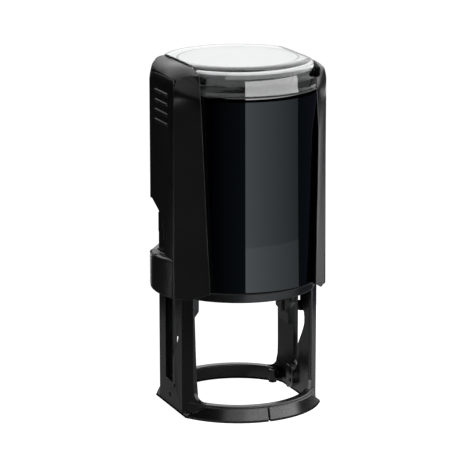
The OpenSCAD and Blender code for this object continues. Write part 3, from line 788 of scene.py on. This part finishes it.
class STAMP_OT_ink_pad(bpy.types.Operator):
    """Bridge, pad tray and the crowned felt"""

    bl_idname = "stamp.ink_pad"
    bl_label = "Ink pad"

    def execute(self, context):
        edge = sizes().edge
        recast("bridge", "pad_bridge", "frame", "frame_plastic", satin_black(), edge)
        recast("pad_tray", "ink_pad_tray", "frame", "tray_plastic", tray_black(), edge)
        self.felt()
        return {"FINISHED"}

    def felt(self):
        """Felt disc whose face bulges by crown (1 - q^2), q the share of the radius, with a matted rim.

        The rim is a quarter circle, and two waves round the disc make the face uneven.
        """
        crown, rim, rim_fall = 0.00025, 0.0007, 0.98
        wave, lobes, folds = 0.00004, 23, 17
        fine_wave, fine_lobes, twist = 0.00003, 41, 9
        above, rings = 0.0002, 40
        bottom, top = low("ink_pad_felt")[2], high("ink_pad_felt")[2]
        radius = high("ink_pad_felt")[0]
        share = np.linspace(0, 1, rings)[:, None]
        turn = np.linspace(0, 2 * np.pi, ROUND_STEPS, endpoint=False)[None]
        ripple = wave * np.sin(lobes * turn) * np.sin(folds * np.pi * share)
        ripple = ripple + fine_wave * np.sin(fine_lobes * turn + twist * share)
        bend = np.clip((share * radius - radius + rim) / rim, 0, 1)
        depth = bottom + crown * share ** 2 + rim * (1 - np.sqrt(1 - bend ** 2 * rim_fall)) + ripple * share
        face = np.stack([share * radius * np.cos(turn), share * radius * np.sin(turn), depth], -1)
        back = face.copy()
        back[..., 2] = top - above
        # One grid, out along the face and back in along the back
        points = np.concatenate([face, back[::-1]]).reshape(-1, 3)
        faces = grid_faces(2 * rings, ROUND_STEPS, False, True)
        felt = put("felt", points, faces, "frame", "ink_felt", soaked_felt(), "ink_pad_felt")


class STAMP_OT_return_spring(bpy.types.Operator):
    """Return spring: a round wire along a helix with closed ends"""

    bl_idname = "stamp.return_spring"
    bl_label = "Return spring"

    def execute(self, context):
        """Carries a circle along (r cos a, r sin a, z), where z climbs slowly in the first and last turn."""
        wire, steps, sides = 0.0005, 56, 14
        # Climb in a closed turn in wire radii, the turns that it takes, and the further climb in between
        closed, closed_turns, open_climb = 2.1, 1.4, 0.0052
        turns = sizes().spring_turns
        bottom, top = low("return_spring")[2], high("return_spring")[2]
        radius = high("return_spring")[0] - wire
        count = turns * steps
        along = np.linspace(0, turns, count)
        ends = np.minimum(along, turns - along)
        climb = closed * wire + (1 - np.clip(closed_turns - ends, 0, 1)) * open_climb
        height = np.concatenate([[0], np.cumsum((climb[1:] + climb[:-1]) / 2)])
        height = bottom + wire + (top - bottom - 2 * wire) * height / height[-1]
        angle = 2 * np.pi * along
        line = np.stack([radius * np.cos(angle), radius * np.sin(angle), height], -1)
        run = np.gradient(line, axis=0)
        run /= np.linalg.norm(run, axis=1, keepdims=True)
        outward = np.stack([np.cos(angle), np.sin(angle), 0 * angle], -1)
        across = np.cross(run, outward)
        turn = np.linspace(0, 2 * np.pi, sides, endpoint=False)[None, :, None]
        # The wire's two ends close to a point
        thick = np.ones(count)
        thick[[0, -1]] = 0
        line[[0, -1]] = line[[1, -2]]
        ring = np.cos(turn) * outward[:, None] + np.sin(turn) * across[:, None]
        points = line[:, None] + wire * thick[:, None, None] * ring
        spring = put("coil_spring", points.reshape(-1, 3), grid_faces(count, sides, False, True),
                     "frame", "spring_steel", drawn_steel(), "return_spring")
        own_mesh(spring)
        return {"FINISHED"}


def bay_spread(z):
    """Widening of the panels' bays at the height z: whole at the panels' lower edge, none at the top."""
    return sizes().panel_spread * (HOUSE_TOP - z) / (HOUSE_TOP - PANEL_LOW)


class STAMP_OT_housing(bpy.types.Operator):
    """Housing shell with steep corner facets that stand proud of the panels, and side grips"""

    bl_idname = "stamp.housing"
    bl_label = "Housing"

    def widened(self, points):
        """Widens the panels' bays: a bay's wall moves out, and what lies beside it gives way.

        A corner within beside of the wall moves by the spread times the share of that distance that is left,
        and keeps its radius.
        """
        seam, beside, above = 0.0001, 0.0011, 0.001
        half_low, half_top = (half + seam for half in half_widths(solid("front_panel")))
        x, z = np.abs(points[:, 0]), points[:, 2]
        half = half_low + (half_top - half_low) * (z - PANEL_LOW) / (PANEL_TOP - PANEL_LOW)
        at_wall = (x > half - 2 * CLOSE) & (x < half + beside) & (z > PANEL_LOW - CLOSE)
        radius = np.hypot(points[:, 0], points[:, 1])
        moved = x + np.where(at_wall, bay_spread(z) * (1 - (x - half) / beside), 0)
        deep = np.sqrt(np.maximum(radius ** 2 - moved ** 2, 0))
        at_wall &= z < PANEL_TOP + above
        points[:, 1] = np.where(at_wall, np.sign(points[:, 1]) * deep, points[:, 1])
        points[:, 0] = np.sign(points[:, 0]) * moved

    def steepened(self, points):
        """Turns the facets to the sides.

        On a facet, y at the distance x from the middle becomes facet_half + (FLAT_X - x) facet_slope. On the
        crown over it the same step is taken by a share that falls to nought at its depth below the facet. The
        flat sides draw in evenly from their old half depth to facet_half.
        """
        # Where the old slope is measured, and what bounds the facets, the crown over them and the flat sides
        probe_in, probe_out = FLAT_X - 0.0025, FLAT_X - 0.0023
        facet_in, facet_r, facet_skin = 0.0139, HOUSE_R - 0.0005, 0.0005
        crown_in, crown_low, crown_fall = 0.016, CAP_LOW + 0.004, 0.0036
        flat_in = FLAT_X - 0.0012
        x, y, z = np.abs(points[:, 0]), np.abs(points[:, 1]), points[:, 2]
        flat_half = y[x > FLAT_X - TOUCH].max()
        facet = (x > probe_in) & (x < probe_out) & (z < HOUSE_LOW + TOUCH)
        old_slope = (y[facet].max() - flat_half) / (FLAT_X - x[facet][0])
        old = flat_half + (FLAT_X - x) * old_slope
        step = sizes().facet_half + (FLAT_X - x) * sizes().facet_slope - old
        under = old - y
        on_facet = (under < facet_skin) & (np.hypot(x, y) > facet_r) & (x > facet_in)
        on_crown = (z > crown_low) & (x > crown_in) & ~on_facet
        share = np.where(on_facet, 1, np.where(on_crown, np.clip(1 - under / crown_fall, 0, 1), 0))
        on_flat = (x > flat_in) & (share == 0)
        new = np.where(on_flat, y * sizes().facet_half / flat_half, y + share * step)
        new = np.where(on_facet, old + step, new)
        points[:, 1] = np.sign(points[:, 1]) * new

    def drawn_in(self, points):
        """Draws a grip's corners in with the flat sides. The band beyond the flat keeps its radius."""
        band_in, band_top, band_r = FLAT_X - 0.0002, PANEL_LOW + 0.0098, FLAT_X + 0.0018
        x, y = np.abs(points[:, 0]), points[:, 1]
        shell = np.abs(solid("housing_shell"))
        half = shell[shell[:, 0] > FLAT_X - TOUCH, 1].max()
        new = y * sizes().facet_half / half
        band = (x > band_in) & (points[:, 2] < band_top) & (np.hypot(x, y) > band_r)
        out = np.sign(points[:, 0]) * np.sqrt(x ** 2 + y ** 2 - new ** 2)
        points[:, 0] = np.where(band, out, points[:, 0])
        points[:, 1] = new

    def lowered(self, points):
        """Moves the bands' upper edge down, which is the rear window's lower one, more so at the rear."""
        at_edge = np.abs(points[:, 2] - BAND_TOP) < CLOSE
        share = np.clip((points[:, 1] / sizes().facet_half + 1) / 2, 0, 1)
        points[:, 2] -= (sizes().band_drop + sizes().band_tilt * share) * at_edge

    def on_crown(self, edge):
        """Whether an edge lies on the crown's outside, where the finish blends the faces."""
        outside = CAP_HALF + 0.0006
        return all(corner.co.z > PANEL_TOP and abs(corner.co.x) > outside for corner in edge.verts)

    def on_ledge(self, edge):
        """Whether an edge is the upper outer one of a bearing band."""
        outside = FLAT_X + 0.0015
        lowest = BAND_TOP - sizes().band_drop - sizes().band_tilt - CLOSE
        return all(lowest < corner.co.z < BAND_TOP and corner.co.xy.length > outside for corner in edge.verts)

    def execute(self, context):
        recast("shell", "housing_shell", "housing", "housing_plastic", fine_matte_black(), sizes().house_edge,
               self.widened, self.steepened, self.lowered, segments=3, is_broad=self.on_crown)
        for side in ("left", "right"):
            recast(f"{side}_grip", f"{side}_side_grip", "housing", "grip_plastic", grip_matte_black(),
                   sizes().edge, self.drawn_in, self.lowered,
                   segments=3, broad=sizes().band_edge, is_broad=self.on_ledge)
        return {"FINISHED"}


class STAMP_OT_panels(bpy.types.Operator):
    """Glossy front and rear panels: round plates with rolled edges"""

    bl_idname = "stamp.panels"
    bl_label = "Glossy panels"

    def plate(self, node, side, lean, crease):
        """Plate on the round front or back, from its node's lower to its upper edge.

        Its half width grows evenly with height. Within the edge's width e of a border, at a share q past the
        flat, the face drops by e (1 - sqrt(1 - q^2)), with q^2 summed over both directions at the corners.
        Below the crease it leans in evenly.
        """
        edge, wall_r = sizes().panel_edge, HOUSE_R - sizes().panel_wall
        roll_steps, low_steps, high_steps, across_steps = 6, 12, 40, 81
        points = solid(node)
        bottom, top = points[:, 2].min(), points[:, 2].max()
        half_low, half_top = half_widths(points)
        roll = edge * (1 - np.cos(np.linspace(0, np.pi / 2, roll_steps)))
        rows = np.concatenate([bottom + roll, np.linspace(bottom + edge, crease, low_steps)[1:-1],
                               np.linspace(crease, top - edge, high_steps)[:-1], top - roll[::-1]])
        half = half_low + (half_top - half_low) * (rows - bottom) / (top - bottom) + bay_spread(rows)
        half = half[:, None]
        inner = np.linspace(-1, 1, across_steps)[None, 1:-1] * (half - edge)
        x = np.concatenate([roll - half, inner, half - roll[::-1]], 1)
        past_x = np.clip(1 - (half - np.abs(x)) / edge, 0, 1)
        past_z = np.clip(1 - np.minimum(rows - bottom, top - rows) / edge, 0, 1)[:, None]
        drop = edge * (1 - np.sqrt(np.clip(1 - past_x ** 2 - past_z ** 2, 0, 1)))
        drop = drop + lean * np.clip((crease - rows) / (crease - bottom), 0, 1)[:, None]
        z = np.broadcast_to(rows[:, None], x.shape)
        outer = np.stack([x, side * np.sqrt((HOUSE_R - drop) ** 2 - x ** 2), z], -1)
        under = np.stack([x, side * np.sqrt(wall_r ** 2 - x ** 2), z], -1)
        return slab(outer, under)

    def execute(self, context):
        middle = (low("rear_panel")[2] + high("rear_panel")[2]) / 2
        front = self.plate("front_panel", -1, sizes().panel_lean, sizes().panel_crease)
        put("front_gloss", *front, "housing", "gloss_panel", gloss_black(), "front_panel")
        rear = self.plate("rear_panel", 1, 0.0, middle)
        put("rear_gloss", *rear, "housing", "gloss_panel", gloss_black(), "rear_panel")
        return {"FINISHED"}


class STAMP_OT_card(bpy.types.Operator):
    """White index card on its tray"""

    bl_idname = "stamp.card"
    bl_label = "Index card"

    def execute(self, context):
        rim = 0.00008
        recast("tray_of_card", "card_tray", "housing", "frame_plastic", satin_black(), sizes().edge)
        profile = disc_profile(high("index_card")[0], low("index_card")[2], high("index_card")[2], rim)
        shells = joined(lathe(profile, ROUND_STEPS), self.surround(-1), self.surround(1))
        put("white_disc", *shells, "housing", "white_card", white_paper(), "index_card")
        return {"FINISHED"}

    def surround(self, side):
        """White crescent between the round card and the cap's skirt, at the front or the back.

        Its point at radius r and azimuth a is (r sin a, r cos a), and a reaches as far as the cap is wide.
        """
        skirt_gap, side_gap, rings, steps = 0.0012, 0.0005, 8, 61
        inner = high("index_card")[0] + sizes().card_slit
        outer = HOUSE_R - sizes().cap_skirt - skirt_gap
        radius = np.linspace(inner, outer, rings)[:, None]
        reach = np.arcsin(np.minimum((CAP_HALF - side_gap) / radius, 1))
        turn = reach * np.linspace(-1, 1, steps)[None]
        flat = [radius * np.sin(turn), side * radius * np.cos(turn)]
        top = np.stack([*flat, 0 * turn + high("index_card")[2]], -1)
        bottom = np.stack([*flat, 0 * turn + low("index_card")[2]], -1)
        return slab(top, bottom)


class STAMP_OT_clear_cap(bpy.types.Operator):
    """Clear cap: a round lid with front and back skirts, cut straight at the shoulders"""

    bl_idname = "stamp.clear_cap"
    bl_label = "Clear cap"

    def lid(self, radius, top, edge):
        """Grid over the lid at steps across its width, from the front skirt over the top to the back skirt.

        The leaning skirt and its rounded edge are a profile of radius p and height z round the axis. At the
        distance x from the middle, y is sqrt(p^2 - x^2). On the flat top y goes evenly from front to back.
        """
        lean = sizes().cap_lean
        bend_steps, skirt_steps, top_steps, across_steps = 13, 10, 31, 49
        half_low, _ = half_widths(solid("clear_cap"))
        bend = np.linspace(lean, np.pi / 2, bend_steps)
        start = top - edge + edge * math.sin(lean)
        skirt = np.linspace(CAP_LOW, start, skirt_steps)[:-1]
        centre = radius - (start - CAP_LOW) * math.tan(lean) - edge * math.cos(lean)
        leaning = radius - (skirt - CAP_LOW) * math.tan(lean)
        profile_r = np.concatenate([leaning, centre + edge * np.cos(bend)])
        profile_z = np.concatenate([skirt, top - edge + edge * np.sin(bend)])
        flat = np.linspace(-1, 1, top_steps)[1:-1]
        z = np.concatenate([profile_z, 0 * flat + top, profile_z[::-1]])[:, None]
        half = half_low + (CAP_HALF - half_low) * (z - CAP_LOW) / (HOUSE_TOP - CAP_LOW)
        x = half * np.linspace(-1, 1, across_steps)[None]
        front = -np.sqrt(profile_r[:, None] ** 2 - x[:len(profile_r)] ** 2)
        back = -front[::-1]
        y = np.concatenate([front, -flat[:, None] * front[-1:], back])
        return np.stack([x, y, np.broadcast_to(z, x.shape)], -1)

    def execute(self, context):
        wall, edge = sizes().cap_skirt, sizes().cap_edge
        outer = self.lid(HOUSE_R, HOUSE_TOP, edge)
        inner = self.lid(HOUSE_R - wall, HOUSE_TOP - sizes().cap_top, edge - wall)
        cap = put("cap", *slab(outer, inner), "housing", "clear_plastic", clear_polished(), "clear_cap")
        soften(cap, sizes().cap_rim, angle=60, segments=3)
        return {"FINISHED"}


class STAMP_OT_die(bpy.types.Operator):
    """Die: carrier, axle, cam pins, foam cushion and engraved rubber"""

    bl_idname = "stamp.die"
    bl_label = "Die"

    def pin(self, node, start, end):
        """Round pin along X with rounded ends, as thick and as high as a CAD node."""
        edge, steps = 0.0003, 48
        centre = (0, 0, (low(node)[2] + high(node)[2]) / 2)
        return lathe(disc_profile(high(node)[1], start, end, edge), steps, 0, centre)

    def execute(self, context):
        recast("carrier", "die_carrier", "die", "frame_plastic", satin_black(), sizes().edge)
        axle = self.pin("die_axle", low("die_axle")[0], high("die_axle")[0])
        put("axle", *axle, "die", "spring_steel", drawn_steel(), "die_axle")
        pin_root = 0.0016
        root = high("die_carrier")[0] - pin_root
        left = self.pin("cam_pins", low("cam_pins")[0], -root)
        right = self.pin("cam_pins", root, high("cam_pins")[0])
        put("pins", *joined(left, right), "die", "spring_steel", drawn_steel(), "cam_pins")
        self.cushion()
        recast("engraved_rubber", "rubber_die", "die", "die_rubber", engraved_rubber(), sizes().rubber_edge)
        return {"FINISHED"}

    def cushion(self):
        """Foam disc with a rim that bulges out between its two faces."""
        bulge = 0.48
        bottom, top = low("die_cushion")[2], high("die_cushion")[2]
        profile = disc_profile(high("die_cushion")[0], bottom, top, (top - bottom) * bulge)
        cushion = put("foam_disc", *lathe(profile, ROUND_STEPS), "die", "foam", cell_foam(), "die_cushion")


# Stage

# Height of the screens that lie on the floor
ON_FLOOR = 0.0006
# Screens of light: name, lower and upper arc as radius and height, sweep in degrees from the front to +X,
# brightness at its start and at its end
FLOOR_SCREENS = (
    ("floor_light", (0.0, ON_FLOOR), (0.1, ON_FLOOR), (-60, 150), 0.4, 0.4),
    ("floor_shade", (0.0, ON_FLOOR), (0.1, ON_FLOOR), (150, 300), 0.18, 0.18),
)
SCREENS = (
    ("facet_light", (0.1, ON_FLOOR), (0.5, ON_FLOOR), (-112, -70), 0.15, 0.1),
    ("left_screen", (0.8, 0.3), (0.35, 1.1), (-140, -60), 0.6, 0.4),
    ("left_haze", (0.1, ON_FLOOR), (0.5, ON_FLOOR), (-60, -12), (0.0, 0.0, 0.01), (0.07, 0.1, 0.12)),
    ("front_near", (0.11, ON_FLOOR), (0.21, ON_FLOOR), (-12, 68), (1.6, 1.75, 1.82), (0.45, 0.52, 0.57)),
    ("front_light", (0.21, ON_FLOOR), (0.5, ON_FLOOR), (-12, 68), (1.25, 1.42, 1.52), (0.3, 0.37, 0.42)),
    ("right_haze", (0.1, ON_FLOOR), (0.5, ON_FLOOR), (68, 122), (0.04, 0.06, 0.08), (0.03, 0.025, 0.05)),
    ("side_light", (0.12, ON_FLOOR), (0.6, ON_FLOOR), (125, 160), 1.5, 1.5),
    ("rear_light", (0.1, ON_FLOOR), (0.6, ON_FLOOR), (160, 185), 1.5, 1.5),
    ("rear_haze", (0.1, ON_FLOOR), (0.5, ON_FLOOR), (200, 248), 0.025, 0.025),
    ("left_light", (0.1, ON_FLOOR), (0.6, ON_FLOOR), (-111, -103), 4.0, 4.0),
    ("back_screen", (1.2, 0.2), (1.1, 0.43), (100, 180), 1.1, 1.1),
    ("high_screen", (1.1, 0.43), (0.35, 1.3), (100, 180), 2.1, 2.1),
    ("ridge_screen", (1.1, 0.43), (0.35, 1.3), (180, 212), 1.1, 1.1),
    ("front_screen", (0.7, 0.16), (0.3, 0.9), (-40, 100), 2.8, 2.8),
    ("low_screen", (0.6, 0.045), (0.6, 0.11), (-12, 68), 9.5, 8.0),
)


class STAMP_OT_stage(bpy.types.Operator):
    """Pale floor, studio lights and the camera at the picture's angle"""

    bl_idname = "stamp.stage"
    bl_label = "Stage"

    def camera(self, stage):
        """Camera behind the aim point along the direction of azimuth and elevation."""
        turn, lift = stage.azimuth, stage.elevation
        back = Vector((math.sin(turn) * math.cos(lift), -math.cos(turn) * math.cos(lift), math.sin(lift)))
        data = bpy.data.cameras.new("picture_camera")
        data.lens = stage.lens
        data.sensor_width = 36.0
        camera = bpy.data.objects.new("picture_camera", data)
        camera.location = Vector(stage.aim) + back * stage.distance
        camera.rotation_euler = (-back).to_track_quat("-Z", "Y").to_euler()
        bpy.context.scene.collection.objects.link(camera)
        bpy.context.scene.camera = camera

    def staged(self, name, points, faces, material, **sight):
        """Piece of the stage, with the kinds of ray that see it."""
        mesh = bpy.data.meshes.new(name)
        mesh.from_pydata(points.reshape(-1, 3).tolist(), [], faces.tolist())
        mesh.materials.append(material)
        piece = bpy.data.objects.new(name, mesh)
        bpy.context.scene.collection.objects.link(piece)
        for kind, seen in sight.items():
            setattr(piece, f"visible_{kind}", seen)

    def pale(self, name, tone, base):
        """Pale matte finish with a faint cloudiness and a brightness of its own."""
        material, tree, coords = blank(name)
        cloud = noise_in(tree, coords, Scale=3.0, Detail=2.0)
        white = uneven(tree, cloud, np.full(3, base), dark=0.985, light=1.0)
        shade(tree, {"Base Color": white, "Roughness": 0.9, "Specular IOR Level": 0.0,
                     "Emission Color": (1.0, 1.0, 1.0, 1.0), "Emission Strength": tone})
        return material

    def backdrop(self, stage):
        """Round floor, and a dome over it as a pale room. Neither shows in reflections on the stamp.

        The dome's profile is a quarter circle of radius reach, sunk a little, and its wall is 1 % thick.
        """
        reach, floor_low, floor_edge, sunk, outside = 4.0, -0.02, 0.01, 0.05, 1.01
        floor_base, room_tone, room_base, steps, bend_steps = 0.9, 1.0, 0.2, 96, 33
        floor = disc_profile(reach, floor_low, 0.0, floor_edge)
        bend = np.linspace(0, np.pi / 2, bend_steps)
        dome = np.stack([reach * np.cos(bend), reach * np.sin(bend) - sunk], -1)
        room = np.concatenate([dome, dome[::-1] * outside])
        self.staged("floor", *lathe(floor, steps), self.pale("floor", stage.floor_tone, floor_base),
                    glossy=False, diffuse=False)
        self.staged("room", *lathe(room, steps), self.pale("room", room_tone, room_base),
                    glossy=False, diffuse=False, shadow=False)

    def glow(self, name, low_arc, high_arc, sweep, start, end, diffuse=False):
        """Screen of light that only the stamp sees, straight between two arcs of a radius and a height.

        Its point at the share s and the azimuth a is (r sin a, -r cos a, z), with r and z going evenly from
        the low arc to the high one. Its brightness goes evenly with the azimuth from start to end.
        """
        rows, cols = 9, 65
        share = np.linspace(0, 1, rows)[:, None]
        turn = np.radians(np.linspace(*sweep, cols))[None]
        radius = low_arc[0] + (high_arc[0] - low_arc[0]) * share
        height = low_arc[1] + (high_arc[1] - low_arc[1]) * share
        points = np.stack([radius * np.sin(turn), -radius * np.cos(turn), height + 0 * turn], -1)
        material, tree, coords = blank(name)
        middle, half = math.radians(sum(sweep) / 2), math.radians(sweep[1] - sweep[0]) / 2
        turned = node_in(tree, "ShaderNodeMapping", {"Vector": coords, "Rotation": (0, 0, -middle)})
        place = split_in(tree, turned.outputs["Vector"])
        angle = reckon(tree, "ARCTAN2", place["X"], reckon(tree, "MULTIPLY", place["Y"], -1.0))
        along = ranged(tree, angle, start=(-half, half))
        tone = between(tree, along, np.broadcast_to(start, 3), np.broadcast_to(end, 3))
        shade(tree, {"Base Color": (0.0, 0.0, 0.0, 1.0), "Specular IOR Level": 0.0,
                     "Emission Color": tone, "Emission Strength": 1.0})
        self.staged(name, points, grid_faces(rows, cols), material,
                    camera=False, shadow=False, transmission=False, diffuse=diffuse)

    def top_box(self):
        """Square soft light over the stamp, facing it, that the camera doesn't see."""
        place, aim = Vector((0.05, 0.1, 0.8)), Vector((0.0, 0.0, 0.05))
        data = bpy.data.lights.new("top_box", "AREA")
        data.shape = "RECTANGLE"
        data.size = data.size_y = 0.6
        data.energy = 1.0
        light = bpy.data.objects.new("top_box", data)
        light.location = place
        light.rotation_euler = (aim - place).to_track_quat("-Z", "Y").to_euler()
        light.visible_camera = False
        bpy.context.scene.collection.objects.link(light)

    def execute(self, context):
        stage = context.scene.stamp_stage
        self.camera(stage)
        self.backdrop(stage)
        world = bpy.data.worlds.new("dim_room")
        world.use_nodes = True
        world.node_tree.nodes["Background"].inputs["Color"].default_value = (0.004, 0.004, 0.004, 1.0)
        context.scene.world = world
        context.scene.view_settings.view_transform = "Standard"
        self.top_box()
        for screen in FLOOR_SCREENS:
            self.glow(*screen, diffuse=True)
        for screen in SCREENS:
            self.glow(*screen)
        return {"FINISHED"}


# Layout of the add-on


class STAMP_PT_sidebar(bpy.types.Panel):
    """Lists the builders, sizes and colours in the sidebar."""

    bl_idname = "STAMP_PT_sidebar"
    bl_label = "Self Inking Stamp"
    bl_space_type = "VIEW_3D"
    bl_region_type = "UI"
    bl_category = "Stamp"

    def draw(self, context):
        for operator in OPERATORS:
            self.layout.operator(operator.bl_idname)
        for group in (context.scene.stamp_sizes, context.scene.stamp_colours, context.scene.stamp_stage):
            for name in group.__annotations__:
                self.layout.prop(group, name)


OPERATORS = (
    STAMP_OT_stage, STAMP_OT_foot_ring, STAMP_OT_uprights, STAMP_OT_ink_pad, STAMP_OT_return_spring,
    STAMP_OT_housing, STAMP_OT_panels, STAMP_OT_card, STAMP_OT_clear_cap, STAMP_OT_die,
)
GROUPS = {"stamp_sizes": StampSizes, "stamp_colours": StampColours, "stamp_stage": StampStage}


def register():
    """Registers the classes and hangs the groups of values on the scene."""
    for cls in (*GROUPS.values(), *OPERATORS, STAMP_PT_sidebar):
        bpy.utils.register_class(cls)
    for name, group in GROUPS.items():
        setattr(bpy.types.Scene, name, bpy.props.PointerProperty(type=group))


def unregister():
    """Takes the groups and classes away again."""
    for name in GROUPS:
        delattr(bpy.types.Scene, name)
    for cls in reversed((*GROUPS.values(), *OPERATORS, STAMP_PT_sidebar)):
        bpy.utils.unregister_class(cls)


def main():
    register()
    for operator in OPERATORS:
        group, name = operator.bl_idname.split(".")
        getattr(getattr(bpy.ops, group), name)()


if __name__ == "__main__":
    main()
